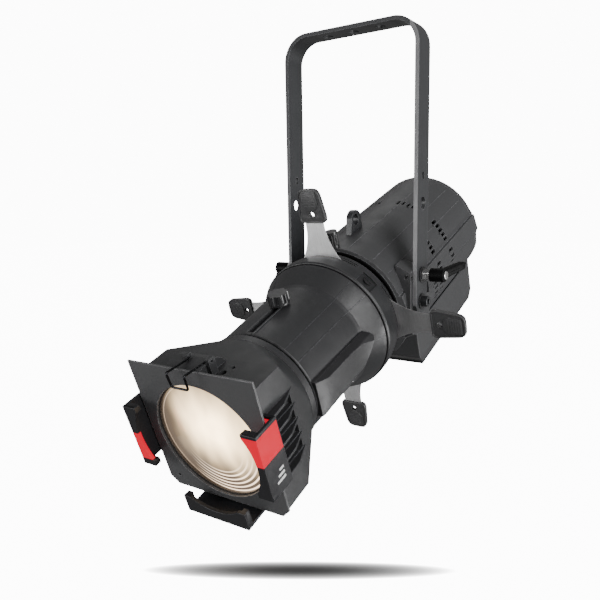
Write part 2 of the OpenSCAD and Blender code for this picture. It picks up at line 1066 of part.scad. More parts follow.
module handle(i) {
  optical()
    color(plastic)
      rotate([0, 0, blade_turn[i]])
        translate([0, blade_pull[i], blade_s[i]])
          difference() {
            union() {
              translate([0, grip_in, -3.5])
                linear_extrude(height = 7)
                  grip_outline();
              translate([0, grip_in + grip_len - 17, -5])
                cylinder(r = 10, h = 10);
            }
            block([-15.1, grip_in - 1, -blade_t / 2], [15.1, grip_in + 14, blade_t / 2]);
            translate([0, grip_in + 13, -6])
              cylinder(r = 3.8, h = 12);
          }
}

module top_blade() {
  blade(0);
}

module right_blade() {
  blade(1);
}

module bottom_blade() {
  blade(2);
}

module left_blade() {
  blade(3);
}

module top_handle() {
  handle(0);
}

module right_handle() {
  handle(1);
}

module bottom_handle() {
  handle(2);
}

module left_handle() {
  handle(3);
}

// ---------------------------------------------------------------- lens tube

shoulder_s = barrel_front_s + 4.5;
plate_t = 2.5;
plate_mid_h = 6.5;
body_half = 86;
flange_r = 83;
flare_rear_s = 276;              // the flare from round to square starts and ends here
flare_front_s = 320;
rib_t = 3;
rib_count = 5;
rib_pitch = 20.5;
rib_low_h = -37;
lens_rim_s = 361;                // rear face of the front lens's rim
lens_rim_t = 5;
bracket_rear_s = plate_s - 14;

module lens_tube() {
  lug_w = 5;
  optical()
    color(black)
      difference() {
        union() {
          translate([0, 0, tube_rear_s])
            cylinder(r = tube_r, h = 120);
          translate([0, 0, shoulder_s])
            cylinder(r = flange_r, h = flare_rear_s - shoulder_s);
          // flare from the round flange to the square front
          hull() {
            translate([0, 0, flare_rear_s - 2])
              cylinder(r = flange_r - 1, h = 2, $fn = 48);
            translate([-body_half, -84, flare_front_s])
              cube([2 * body_half, 168, plate_s - plate_t - flare_front_s]);
          }
          for (side = [-1, 1])
            for (i = [0:rib_count - 1])
              side_rib(side, rib_low_h + i * rib_pitch);
          clip_housing();
          for (side = [-1, 1])
            block([side * (clip_w / 2 + 4) - lug_w / 2, 80, clip_s - 5],
                  [side * (clip_w / 2 + 4) + lug_w / 2, clip_h + 4, clip_s + 5]);
        }
        translate([0, 0, tube_rear_s - 1])
          cylinder(r = tube_r - wall, h = 300);
        translate([0, 0, lens_rim_s - 0.8])
          cylinder(r = lens_r, h = 40);
        for (side = [-1, 1])
          for (i = [0:rib_count - 2])
            rib_pocket(side, rib_low_h + i * rib_pitch);
        translate([0, clip_h, clip_s])
          rod_x(wire_r + run, -40, 40);
        translate([0, 60, knob_s])
          rotate([-90, 0, 0])
            cylinder(r = 3 + run, h = 30);
        translate([27, 78, 346])
          rotate([-90, 0, 0])
            cylinder(r = 4.6, h = 30);
        translate([33, 80, 334])
          rotate([-90, 0, 0])
            cylinder(r = 2.8, h = 30);
      }
}

// Upright rib beside the accessory holder
module side_rib(side, h) {
  translate([0, h + rib_t, 0])
    rotate([90, 0, 0])
      linear_extrude(height = rib_t)
        polygon([[side * 76, 286], [side * 80, 290], [side * 95, 336], [side * 96.5, bracket_rear_s],
                 [side * 76, bracket_rear_s]]);
}

// Rectangular recess in the flare's side, above a rib
module rib_pocket(side, h) {
  x0 = side > 0 ? 79.5 : -98.5;
  block([x0, h + rib_t + 1.5, 312], [x0 + 19, h + rib_pitch - 1.5, bracket_rear_s - 1.5]);
}

// Raised housing behind the plate's top edge, where the wire clip pivots
module clip_housing() {
  translate([14, 0, 0])
    rotate([0, -90, 0])
      linear_extrude(height = 52)
        polygon([[322, 82], [328, 91], [335, 96.5], [343, 98.6], [359, 98.6], [366, 97],
                 [plate_s - plate_t, 92], [plate_s - plate_t, 82]]);
}

module front_plate() {
  half = plate_w / 2;
  cut = 11;
  optical()
    color(black)
      translate([0, plate_mid_h, plate_s - plate_t])
        linear_extrude(height = plate_t)
          difference() {
            polygon([[-half, half], [half, half], [half, -half + cut], [half - cut, -half],
                     [-half + cut, -half], [-half, -half + cut]]);
            translate([0, -plate_mid_h])
              circle(r = lens_r);
            translate([-75, -77])
              circle(r = 2);
          }
}

channel_in = frame_size / 2 + 1.5;
channel_out = channel_in + 4;
lip_s = plate_s + slot_depth;
lip_t = 5;

// C-shaped bracket, its wall standing on +X and its length along Y
module bracket(len, lip_w) {
  difference() {
    translate([0, len / 2, 0])
      rotate([90, 0, 0])
        linear_extrude(height = len)
          polygon([[channel_out, bracket_rear_s], [channel_out, lip_s + lip_t],
                   [channel_out - lip_w, lip_s + lip_t], [channel_out - lip_w, lip_s],
                   [channel_in, lip_s], [channel_in, bracket_rear_s]]);
    // the lip's inner edge curves away between its two ends
    curve_r = 70;
    translate([channel_out - lip_w - curve_r + 11, 0, lip_s - 1])
      cylinder(r = curve_r, h = lip_t + 2);
  }
}

module accessory_brackets() {
  side_len = 88;
  optical()
    color(black) {
      translate([0, plate_mid_h, 0]) bracket(side_len, 21);
      mirror([1, 0, 0]) translate([0, plate_mid_h, 0]) bracket(side_len, 21);
      translate([0, plate_mid_h - 4.5, 0]) rotate([0, 0, -90]) bracket(96, 25);
      for (side = [-1, 1])
        block([side > 0 ? 86 : -channel_in, plate_mid_h - 44, bracket_rear_s],
              [side > 0 ? channel_in : -86, plate_mid_h + 44, plate_s - 10]);
      block([-48, -channel_in + 2, bracket_rear_s], [48, -84, plate_s - 10]);
    }
}

// Convex lens of revolution: rim from z0 to z1, crown heights on both sides
module lens(r, rim, crown_front, crown_rear) {
  steps = 16;
  rotate_extrude()
    polygon(concat(
      [for (i = [0:steps]) let (t = i / steps) [r * t, rim + crown_front * (1 - t * t)]],
      [for (i = [steps:-1:0]) let (t = i / steps) [r * t, -crown_rear * (1 - t * t)]]));
}

module front_lens() {
  optical()
    color(glass)
      translate([0, 0, lens_rim_s])
        lens(lens_r - 0.2, lens_rim_t, 7, 4);
}

module rear_lens() {
  optical()
    color(glass)
      translate([0, 0, 172])
        lens(tube_r - wall - 0.2, 5, 6, 6);
}

module lens_rings() {
  optical()
    color(plastic) {
      tube_z(lens_r - 0.2, lens_r - 1.7, lens_rim_s + lens_rim_t + 0.4, lens_rim_s + lens_rim_t + 3);
      tube_z(tube_r - wall - 0.1, tube_r - wall - 5, 178.2, 182);
      tube_z(tube_r - wall - 0.1, tube_r - wall - 5, 167, 171);
    }
}

module focus_knob() {
  lobes = 8;
  optical()
    color(plastic)
      translate([0, 0, knob_s])
        rotate([-90, 0, 0]) {
          translate([0, 0, 74])
            cylinder(r = 3, h = 18);
          translate([0, 0, 86.5])
            difference() {
              cylinder(r = 14.5, h = 15);
              for (i = [0:lobes - 1])
                rotate([0, 0, (i + 0.5) * 360 / lobes])
                  translate([17, 0, 2.5])
                    cylinder(r = 4.5, h = 16);
            }
        }
}

module wire_clip() {
  x = clip_w / 2;
  front_s = 389;
  optical()
    color(plastic) {
      for (side = [-1, 1]) {
        wire([side * (x + 7), clip_h, clip_s], [side * x, clip_h, clip_s], wire_r);
        wire([side * x, clip_h, clip_s], [side * x, 105, front_s], wire_r);
        wire([side * x, 105, front_s], [side * (x - 1), 86, front_s - 1], wire_r);
      }
      wire([-x + 1, 86, front_s - 1], [x - 1, 86, front_s - 1], wire_r);
    }
}

yoke();
pivot_bolts();
yoke_washers();
clamp_nuts();
right_lever_stud();
right_lever();
left_lever_stud();
left_lever();
upper_shell();
lower_shell();
electronics_box();
base_plate();
rear_cover();
fan_grille();
fan_frame();
fan_rotor();
heat_sink();
led_board();
condenser_lens();
side_hubs();
tilt_bushes();
safety_eye();
rotation_bearing();
driver_board();
control_panel();
display_window();
menu_button();
up_button();
down_button();
enter_button();
data_sockets();
power_sockets();
fuse_holder();
housing_screws();
box_feet();
rotation_knob();
gate_ring();
gate_plate();
gobo_cover();
cover_screw();
barrel_upper();
barrel_lower();
side_pods();
barrel_screws();
top_blade();
right_blade();
bottom_blade();
left_blade();
top_handle();
right_handle();
bottom_handle();
left_handle();
lens_tube();
front_plate();
accessory_brackets();
front_lens();
rear_lens();
lens_rings();
focus_knob();
wire_clip();
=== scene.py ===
import json
import math

import bmesh
import bpy
from mathutils import Matrix, Vector


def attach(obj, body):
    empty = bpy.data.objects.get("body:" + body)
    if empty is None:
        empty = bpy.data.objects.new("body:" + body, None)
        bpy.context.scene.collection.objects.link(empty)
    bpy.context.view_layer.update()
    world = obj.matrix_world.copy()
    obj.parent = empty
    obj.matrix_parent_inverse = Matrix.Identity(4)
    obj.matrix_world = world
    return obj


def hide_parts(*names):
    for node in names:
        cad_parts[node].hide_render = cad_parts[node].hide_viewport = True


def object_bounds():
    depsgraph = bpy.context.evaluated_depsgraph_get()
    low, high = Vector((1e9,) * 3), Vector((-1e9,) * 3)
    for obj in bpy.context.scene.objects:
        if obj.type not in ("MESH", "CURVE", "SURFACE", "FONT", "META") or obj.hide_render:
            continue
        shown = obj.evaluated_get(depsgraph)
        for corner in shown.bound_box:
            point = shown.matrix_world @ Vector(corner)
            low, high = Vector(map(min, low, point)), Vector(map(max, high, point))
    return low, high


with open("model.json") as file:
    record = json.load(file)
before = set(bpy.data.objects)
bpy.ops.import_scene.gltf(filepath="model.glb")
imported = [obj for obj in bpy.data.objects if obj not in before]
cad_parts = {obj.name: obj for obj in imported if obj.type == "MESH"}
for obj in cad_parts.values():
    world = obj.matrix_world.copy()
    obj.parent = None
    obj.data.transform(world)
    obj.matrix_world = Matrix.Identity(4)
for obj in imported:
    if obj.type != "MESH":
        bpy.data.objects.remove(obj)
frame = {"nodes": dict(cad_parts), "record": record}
cad_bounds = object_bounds()

# ------------------------------------------------------------------ frame
# Optical frame: X across, Y up, Z forward along the beam, its origin on the tilt axis.
PIVOT = Vector((0, 0, -0.408))
TILT = math.radians(20)
OPTICAL = Matrix.Translation(PIVOT) @ Matrix.Rotation(math.pi / 2 + TILT, 4, "X")
RECORD = frame["record"]
BODY_OF = {node: body for body, nodes in RECORD["behaviour"]["bodies"].items() for node in nodes}
SLOT_OF = {part["node"]: part["material_slot"] for part in RECORD["subparts"]}


def mm(*values):
    return Vector([v / 1000 for v in values])


# ------------------------------------------------------------------ camera
CAMERA_ANGLES = (34.074, 8.532, -0.987)  # azimuth, elevation and roll in degrees
CAMERA_FROM_PIVOT = (0.47634, -0.86146, 0.14215)
CAMERA_LENS = 37.085


def make_camera():
    camera = bpy.data.cameras.new("camera")
    camera.sensor_width = 36
    camera.lens = CAMERA_LENS
    camera.clip_start = 0.05
    holder = bpy.data.objects.new("camera", camera)
    bpy.context.scene.collection.objects.link(holder)
    azimuth, elevation, roll = (math.radians(v) for v in CAMERA_ANGLES)
    forward = Vector((-math.sin(azimuth) * math.cos(elevation),
                      math.cos(azimuth) * math.cos(elevation), -math.sin(elevation)))
    level = Vector((math.cos(azimuth), math.sin(azimuth), 0))
    upright = level.cross(forward)
    across = level * math.cos(roll) + upright * math.sin(roll)
    up = upright * math.cos(roll) - level * math.sin(roll)
    pose = Matrix((across, up, -forward)).transposed().to_4x4()
    pose.translation = PIVOT + Vector(CAMERA_FROM_PIVOT)
    holder.matrix_world = pose
    bpy.context.scene.camera = holder


make_camera()

# ------------------------------------------------------------------ material nodes
EDGE_WEAR_AND_HIGHLIGHT_REACH = 0.0011  # how far rubbing and the painted edge highlight reach from an edge, in metres


class Nodes:
    """A new material with a Principled shader, and short calls for the nodes that feed it."""

    def __init__(self, name):
        self.material = bpy.data.materials.new(name)
        self.material.use_nodes = True
        self.tree = self.material.node_tree
        self.tree.nodes.clear()
        output = self.add("ShaderNodeOutputMaterial")
        self.shader = self.add("ShaderNodeBsdfPrincipled")
        self.link(self.shader.outputs[0], output.inputs[0])

    def add(self, kind, **settings):
        node = self.tree.nodes.new(kind)
        for key, value in settings.items():
            setattr(node, key, value)
        return node

    def link(self, source, target):
        self.tree.links.new(source, target)

    def set(self, **values):
        for key, value in values.items():
            self.shader.inputs[key.replace("_", " ")].default_value = value

    def place(self):
        """Position in the row frame, in metres."""
        return self.add("ShaderNodeTexCoord").outputs["Object"]

    def optical(self):
        """Position in the optical frame, in metres."""
        mapping = self.add("ShaderNodeMapping")
        inverse = OPTICAL.inverted()
        mapping.inputs["Rotation"].default_value = inverse.to_euler("XYZ")
        mapping.inputs["Location"].default_value = inverse.to_translation()
        self.link(self.place(), mapping.inputs[0])
        return mapping.outputs[0]

    def stretched(self, vector, scale, turn=(0, 0, 0)):
        """A position turned and scaled, for a pattern that is longer one way."""
        mapping = self.add("ShaderNodeMapping")
        mapping.inputs["Scale"].default_value = scale
        mapping.inputs["Rotation"].default_value = turn
        self.link(vector, mapping.inputs[0])
        return mapping.outputs[0]

    def xyz(self, vector):
        node = self.add("ShaderNodeSeparateXYZ")
        self.link(vector, node.inputs[0])
        return node.outputs[0], node.outputs[1], node.outputs[2]

    def noise(self, vector, scale, detail=2.0, roughness=0.5):
        node = self.add("ShaderNodeTexNoise")
        node.inputs["Scale"].default_value = scale
        node.inputs["Detail"].default_value = detail
        node.inputs["Roughness"].default_value = roughness
        self.link(vector, node.inputs["Vector"])
        return node.outputs["Fac"]

    def math(self, operation, a, b=None, clamp=False):
        """One step of arithmetic on numbers or sockets."""
        node = self.add("ShaderNodeMath", operation=operation, use_clamp=clamp)
        for socket, value in zip(node.inputs, (a, b)):
            if value is None:
                continue
            if isinstance(value, (int, float)):
                socket.default_value = value
            else:
                self.link(value, socket)
        return node.outputs[0]

    def times(self, a, b, clamp=False):
        return self.math("MULTIPLY", a, b, clamp)

    def length(self, a, b):
        """Length of the flat vector (a, b)."""
        return self.math("SQRT", self.math("ADD", self.times(a, a), self.times(b, b)))

    def within(self, value, low, high):
        """1 between low and high, else 0."""
        return self.times(self.math("GREATER_THAN", value, low), self.math("LESS_THAN", value, high))

    def remap(self, value, low, high, to_low=0.0, to_high=1.0):
        """Value moved from the range low to high to another range, and held inside it."""
        node = self.add("ShaderNodeMapRange")
        for index, number in zip((1, 2, 3, 4), (low, high, to_low, to_high)):
            node.inputs[index].default_value = number
        self.link(value, node.inputs[0])
        return node.outputs[0]

    def mix(self, factor, a, b):
        """Mix of two colours, each an RGB triple or a socket."""
        node = self.add("ShaderNodeMix", data_type="RGBA")
        if isinstance(factor, (int, float)):
            node.inputs[0].default_value = factor
        else:
            self.link(factor, node.inputs[0])
        for socket, value in ((node.inputs[6], a), (node.inputs[7], b)):
            if isinstance(value, tuple):
                socket.default_value = (*value, 1)
            else:
                self.link(value, socket)
        return node.outputs[2]

    def bump(self, height, distance, strength=1.0, before=None):
        node = self.add("ShaderNodeBump")
        node.inputs["Strength"].default_value = strength
        node.inputs["Distance"].default_value = distance
        self.link(height, node.inputs["Height"])
        if before is not None:
            self.link(before, node.inputs["Normal"])
        return node.outputs[0]

    def edges(self):
        """1 on edges, for rubbed paint and for a painted edge highlight, broken up by noise."""
        rounded_normal = self.add("ShaderNodeBevel", samples=3)
        rounded_normal.inputs["Radius"].default_value = EDGE_WEAR_AND_HIGHLIGHT_REACH
        flat_normal = self.add("ShaderNodeNewGeometry").outputs["Normal"]
        dot = self.add("ShaderNodeVectorMath", operation="DOT_PRODUCT")
        self.link(rounded_normal.outputs[0], dot.inputs[0])
        self.link(flat_normal, dot.inputs[1])
        worn_and_lit = self.remap(dot.outputs["Value"], 0.985, 0.90)
        patches = self.remap(self.noise(self.place(), 90, 3), 0.30, 0.56)
        return self.times(worn_and_lit, patches, clamp=True)

    def feed(self, colour=None, roughness=None, normal=None):
        for key, socket in (("Base Color", colour), ("Roughness", roughness), ("Normal", normal)):
            if socket is not None:
                self.link(socket, self.shader.inputs[key])


def scaled(colour, factor):
    return tuple(min(1.0, c * factor) for c in colour)


def coated(name, colour, rough=0.5, grain=0.00006, edge_wear_and_highlight=0.6, mask=None):
    """Fine-texture powder coat: small even pimples, soft sheen, rubbed edges that also carry a painted
    highlight, pale specks.
    """
    n = Nodes(name)
    place = n.place()
    cloud = n.remap(n.noise(place, 16, 3), 0.3, 0.7)
    speckle = n.remap(n.noise(place, 520, 2), 0.35, 0.65)
    base = n.mix(cloud, scaled(colour, 0.95), scaled(colour, 1.05))
    base = n.mix(n.times(speckle, 0.25), base, scaled(colour, 1.3))
    if mask is not None:
        base = mask(n, base)
    # edges lightened, partly by rubbing and partly as a painted highlight where light would catch them
    base = n.mix(n.times(n.edges(), edge_wear_and_highlight), base, scaled(colour, 6.5))
    rubbed = n.remap(n.noise(place, 38, 4), 0.3, 0.7, rough - 0.07, rough + 0.07)
    pimples = n.bump(n.noise(place, 1500, 2, 0.6), grain, 0.75)
    waves = n.bump(n.noise(place, 60, 2), 0.0001, 0.3, pimples)
    n.feed(base, rubbed, waves)
    n.set(IOR=1.5)
    return n.material


def moulded(name, colour, rough=0.42, coat=0.0, specular=0.5):
    """Spark-eroded moulded plastic with smears."""
    n = Nodes(name)
    place = n.place()
    base = n.mix(n.remap(n.noise(place, 30, 3), 0.3, 0.7), scaled(colour, 0.85), scaled(colour, 1.15))
    # edges lightened, partly by rubbing and partly as a painted highlight where light would catch them
    base = n.mix(n.times(n.edges(), 0.35), base, scaled(colour, 2.6))
    smears = n.noise(n.stretched(place, (24, 90, 24)), 1, 4)
    rough_map = n.remap(smears, 0.3, 0.7, rough - 0.09, rough + 0.09)
    n.feed(base, rough_map, n.bump(n.noise(place, 1900, 2), 0.00004, 0.6))
    n.set(IOR=1.49, Coat_Weight=coat, Coat_Roughness=0.25, Specular_IOR_Level=specular)
    return n.material


def brushed(name, colour, rough=0.38, painted_shade=None):
    """Rolled or brushed metal: long fine scratches along one direction, with smudges."""
    n = Nodes(name)
    place = n.optical()
    hair = n.noise(n.stretched(place, (2600, 60, 2600)), 1, 3, 0.7)
    smudge = n.noise(place, 45, 4)
    base = n.mix(n.remap(hair, 0.3, 0.7), scaled(colour, 0.78), scaled(colour, 1.12))
    base = n.mix(n.times(n.remap(smudge, 0.45, 0.7), 0.35), base, scaled(colour, 0.6))
    # an optional painted shade darkens part of the metal
    if painted_shade is not None:
        base = painted_shade(n, base)
    rough_map = n.remap(smudge, 0.3, 0.7, rough - 0.08, rough + 0.12)
    n.feed(base, rough_map, n.bump(hair, 0.00003, 0.5))
    n.set(Metallic=1.0)
    return n.material


def turned(name, colour, rough=0.25):
    """Plated or machined metal with fine scratches."""
    n = Nodes(name)
    place = n.place()
    base = n.mix(n.remap(n.noise(place, 70, 3), 0.35, 0.65), scaled(colour, 0.82), scaled(colour, 1.08))
    scratches = n.noise(n.stretched(place, (300, 300, 2600)), 1, 3)
    rough_map = n.remap(scratches, 0.3, 0.7, rough - 0.08, rough + 0.12)
    n.feed(base, rough_map, n.bump(scratches, 0.00002, 0.5))
    n.set(Metallic=1.0)
    return n.material


RED = (0.22, 0.0, 0.005)
RED_GLOW = (1.0, 0.0, 0.03)
# each red mark: its range across, its range up, and how far forward it starts, in metres
RIGHT_RED = ((0.078, 0.12), (0.010, 0.0465), 0.3615)
LEFT_RED = ((-0.12, -0.078), (-0.0275, 0.011), 0.3937)
# painted highlight on the front edge of the right yoke leg
FRONT_HIGHLIGHT_PAINT = (0.20, 0.20, 0.205)
POD_DARK = (0.006, 0.006, 0.007)
# painted shade on the right-hand blade
BLADE_DARK = (0.10, 0.10, 0.102)


def bracket_marks(n, base):
    """Red paint on the right bracket's upper part and on the left bracket's lower front lip.

    The paint is given a slight glow of its own, so that it stays vivid.
    """
    x, h, s = n.xyz(n.optical())
    right, left = (
        n.times(n.times(n.within(x, *across), n.within(h, *up)), n.math("GREATER_THAN", s, start))
        for across, up, start in (RIGHT_RED, LEFT_RED))
    painted = n.math("ADD", right, left, clamp=True)
    n.link(n.mix(painted, (0, 0, 0), RED_GLOW), n.shader.inputs["Emission Color"])
    n.set(Emission_Strength=0.8, Specular_IOR_Level=0.22)
    return n.mix(painted, base, RED)


def painted_front_highlight(n, base):
    """A painted tone: the front edge of the right leg is pale, as if lit from the front."""
    x, y, _ = n.xyz(n.place())
    front = n.times(n.math("LESS_THAN", y, -0.0192), n.math("GREATER_THAN", x, 0.1))
    patches = n.remap(n.noise(n.place(), 30, 3), 0.3, 0.7, 0.75, 1.0)
    return n.mix(n.times(front, patches), base, FRONT_HIGHLIGHT_PAINT)


def pod_shadow(n, base):
    """A painted tone: the recessed upper face of each side pod is dark, as if in shade."""
    x, h, _ = n.xyz(n.optical())
    edge = n.math("ADD", n.times(n.math("ABSOLUTE", x), 1.05), h)
    upper = n.math("GREATER_THAN", edge, 0.1101)
    return n.mix(upper, base, POD_DARK)


def right_blade_painted_shade(n, base):
    """A painted tone: the right-hand blade is darker than the others, as if in shade."""
    x = n.xyz(n.optical())[0]
    return n.mix(n.remap(x, 0.085, 0.12, 0.0, 0.55), base, BLADE_DARK)


GLOW_CENTRE = (0.013, 0.019)  # brightest point of the front lens, across and up
GLOW_EDGE, GLOW_FULL = 0.086, 0.014  # distances from it where the glow ends and where it is full
GLOW_DARK, GLOW_BRIGHT = (0.037, 0.0275, 0.0195), (1.50, 1.10, 0.62)
RING_BRIGHT = (1.1, 0.84, 0.60)
RING_PITCH = 1000  # radians per metre of radius
RIM_LINE = (0.0752, 0.0762)


def lens_glass():
    """Front lens glowing as if over a lit gate, all painted light: warm cream, palest right of and
    above the middle, painted ring reflections low down.
    """
    n = Nodes("front_glass")
    x, h, _ = n.xyz(n.optical())
    radius = n.length(x, h)
    off = n.length(n.math("SUBTRACT", x, GLOW_CENTRE[0]), n.math("SUBTRACT", h, GLOW_CENTRE[1]))
    glow = n.remap(off, GLOW_EDGE, GLOW_FULL)
    cloud = n.noise(n.stretched(n.optical(), (26, 12, 20), (0, 0, 0.7)), 1, 2)
    glow = n.math("ADD", glow, n.remap(cloud, 0.3, 0.7, -0.14, 0.14), clamp=True)
    colour = n.mix(n.math("POWER", glow, 2.1), GLOW_DARK, GLOW_BRIGHT)
    # rings of painted reflection in the lower part of the lens
    rings = n.remap(n.math("SINE", n.times(radius, RING_PITCH)), 0.1, 1.0)
    low = n.times(n.remap(h, -0.010, -0.045), n.remap(radius, 0.040, 0.050))
    low = n.times(low, n.remap(x, -0.045, 0.0))
    colour = n.mix(n.times(n.times(rings, low), 0.6, clamp=True), colour, RING_BRIGHT)
    line = n.times(n.within(radius, *RIM_LINE), n.math("LESS_THAN", x, 0.03))
    colour = n.mix(n.times(line, 0.35), colour, (0.5, 0.36, 0.25))
    n.link(colour, n.shader.inputs["Emission Color"])
    n.feed(n.mix(0.8, colour, (0.06, 0.04, 0.03)), None, n.bump(rings, 0.00008, 0.25))
    n.set(Emission_Strength=5.5, Roughness=0.06, Coat_Weight=0.35, Coat_Roughness=0.02, IOR=1.5)
    return n.material


def inner_glass(name):
    """Clear glass of the lenses inside."""
    n = Nodes(name)
    place = n.place()
    n.feed(n.mix(n.noise(place, 20, 2), (0.9, 0.93, 0.92), (1.0, 1.0, 0.98)),
           n.remap(n.noise(place, 60, 3), 0.3, 0.7, 0.02, 0.08))
    n.set(Transmission_Weight=1.0, IOR=1.5)
    return n.material


def display_glass():
    """Small blue-black display with a faint grid of picture cells."""
    n = Nodes("display")
    x, h, _ = n.xyz(n.optical())
    cells = n.times(n.math("SINE", n.times(x, 9000)), n.math("SINE", n.times(h, 9000)))
    n.feed(n.mix(n.remap(cells, -0.2, 0.9), (0.004, 0.008, 0.02), (0.012, 0.03, 0.07)),
           n.remap(n.noise(n.place(), 80, 2), 0.3, 0.7, 0.06, 0.16))
    n.set(Coat_Weight=0.6, Coat_Roughness=0.05)
    return n.material


def board_paint():
    """Green circuit board with paler tracks."""
    n = Nodes("circuit_board")
    place = n.place()
    tracks = n.remap(n.noise(n.stretched(place, (420, 90, 420)), 1, 1), 0.5, 0.53)
    n.feed(n.mix(tracks, (0.01, 0.09, 0.03), (0.03, 0.2, 0.07)),
           n.remap(n.noise(place, 200, 2), 0.3, 0.7, 0.3, 0.5), n.bump(tracks, 0.00005, 0.5))
    return n.material


def led_paint():
    """White solder mask of the LED board."""
    n = Nodes("led_board")
    place = n.place()
    n.feed(n.mix(n.noise(place, 150, 2), (0.75, 0.75, 0.72), (0.9, 0.88, 0.82)),
           n.remap(n.noise(place, 300, 2), 0.3, 0.7, 0.35, 0.6))
    return n.material


def white_ink():
    """Ink of the beam mark."""
    n = Nodes("mark_ink")
    place = n.place()
    n.feed(n.mix(n.remap(n.noise(place, 700, 2), 0.35, 0.65), (0.72, 0.72, 0.71), (0.86, 0.86, 0.85)),
           n.remap(n.noise(place, 200, 2), 0.3, 0.7, 0.45, 0.6),
           n.bump(n.noise(place, 1500, 2), 0.00003, 0.5))
    return n.material


DARK = (0.0162, 0.0162, 0.0179)
BLACK = (0.0087, 0.0087, 0.0097)


FINISHES = {
    "yoke_paint": coated("yoke_paint", (0.0324, 0.0335, 0.0357), 0.44, edge_wear_and_highlight=0.8, mask=painted_front_highlight),
    "dark_bolts": coated("dark_bolts", (0.0189, 0.0195, 0.0216), 0.32, grain=0.00002),
    "dark_washers": coated("dark_washers", (0.0108, 0.0108, 0.0119), 0.4, grain=0.00002),
    "zinc_steel": turned("zinc_steel", (0.92, 0.91, 0.89), 0.22),
    "lever_plastic": moulded("lever_plastic", (0.0024, 0.0024, 0.0027), 0.5, specular=0.1),
    "housing_paint": coated("housing_paint", (0.0455, 0.046, 0.048), 0.48),
    "base_paint": coated("base_paint", DARK, 0.5),
    "grille_wire": coated("grille_wire", BLACK, 0.4, grain=0.00002),
    "fan_plastic": moulded("fan_plastic", (0.0075, 0.0075, 0.0081), 0.4),
    "heat_sink_aluminium": brushed("heat_sink_aluminium", (0.6, 0.6, 0.61)),
    "led_board": led_paint(),
    "condenser_glass": inner_glass("condenser_glass"),
    "hub_paint": coated("hub_paint", (0.043, 0.0434, 0.045), 0.46),
    "bush_brass": turned("bush_brass", (0.75, 0.5, 0.2)),
    "eye_paint": coated("eye_paint", (0.0183, 0.0189, 0.0205), 0.42),
    "bearing_aluminium": coated("bearing_aluminium", (0.0065, 0.0065, 0.0071), 0.45),
    "circuit_board": board_paint(),
    "panel_plastic": moulded("panel_plastic", (0.0097, 0.0097, 0.0108), 0.5),
    "display": display_glass(),
    "button_plastic": moulded("button_plastic", (0.16, 0.16, 0.17), 0.45),
    "socket_plastic": moulded("socket_plastic", (0.0075, 0.0075, 0.0081), 0.42),
    "power_plastic": moulded("power_plastic", (0.03, 0.05, 0.16), 0.42),
    "foot_rubber": moulded("foot_rubber", (0.0081, 0.0081, 0.0081), 0.75),
    "knob_plastic": moulded("knob_plastic", (0.0119, 0.0119, 0.0129), 0.34, coat=0.15),
    "gate_paint": coated("gate_paint", (0.0205, 0.0209, 0.0222), 0.46),
    "gate_steel": brushed("gate_steel", (0.55, 0.55, 0.56)),
    "cover_paint": coated("cover_paint", (0.016, 0.0162, 0.0172), 0.44),
    "barrel_paint": coated("barrel_paint", (0.0235, 0.0239, 0.0252), 0.46),
    "pod_paint": coated("pod_paint", (0.0175, 0.0178, 0.019), 0.46, mask=pod_shadow),
    "blade_steel": brushed("blade_steel", (0.93, 0.93, 0.935), rough=0.47, painted_shade=right_blade_painted_shade),
    "handle_plastic": moulded("handle_plastic", (0.046, 0.046, 0.0475), 0.38),
    "tube_paint": coated("tube_paint", (0.0235, 0.0239, 0.0252), 0.44),
    "plate_paint": coated("plate_paint", (0.066, 0.0666, 0.0688), 0.42),
    "bracket_paint": coated("bracket_paint", DARK, 0.42, mask=bracket_marks),
    "front_glass": lens_glass(),
    "rear_glass": inner_glass("rear_glass"),
    "ring_plastic": moulded("ring_plastic", (0.1, 0.075, 0.055), 0.4),
    "clip_steel": turned("clip_steel", (0.027, 0.027, 0.0297), 0.3),
}
INK = white_ink()
# near-black with little sheen, a painted shade for gaps and for the sheet behind the vents
PAINTED_SHADE_BLACK = moulded("painted_shade_black", (0.0012, 0.0012, 0.0013), 0.8, specular=0.08)

# ------------------------------------------------------------------ mesh helpers
SHARP = 14
ROUND_STEPS = 160


def settle(obj, body, slot, *stands_for, material=None):
    """Give a new piece its own material if one is given, else the finish of its slot, attach it to its
    body, and hide the CAD nodes that it stands for.
    """
    obj.data.materials.clear()
    obj.data.materials.append(material or FINISHES[slot])
    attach(obj, body)
    if stands_for:
        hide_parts(*stands_for)


def new_object(name, data):
    obj = bpy.data.objects.new(name, data)
    bpy.context.scene.collection.objects.link(obj)
    return obj


def evaluated_mesh(obj):
    """Mesh of an object with its modifiers or its curve settings carried out."""
    graph = bpy.context.evaluated_depsgraph_get()
    return bpy.data.meshes.new_from_object(obj.evaluated_get(graph))


def smooth(mesh, angle=32):
    mesh.shade_smooth()
    mesh.set_sharp_from_angle(angle=math.radians(angle))


def soften(obj, width):
    """Round every edge sharper than SHARP degrees by a width in mm."""
    bevel = obj.modifiers.new("bevel", "BEVEL")
    bevel.width = width / 1000
    bevel.segments = 2
    bevel.limit_method = "ANGLE"
    bevel.angle_limit = math.radians(SHARP)
    bevel.use_clamp_overlap = True
    obj.data.shade_smooth()
    weighted = obj.modifiers.new("weighted", "WEIGHTED_NORMAL")
    weighted.keep_sharp = True
    weighted.weight = 60
    mesh = evaluated_mesh(obj)
    obj.modifiers.clear()
    obj.data = mesh


def refined(node, width):
    """A copy of a CAD node with its edges rounded, which stands for the node."""
    mesh = frame["nodes"][node].data.copy()
    work = bmesh.new()
    work.from_mesh(mesh)
    bmesh.ops.remove_doubles(work, verts=work.verts, dist=2e-6)
    bmesh.ops.dissolve_limit(work, angle_limit=math.radians(0.5), verts=work.verts, edges=work.edges)
    work.to_mesh(mesh)
    work.free()
    obj = new_object(node + "_finished", mesh)
    soften(obj, width)
    settle(obj, BODY_OF[node], SLOT_OF[node], node)


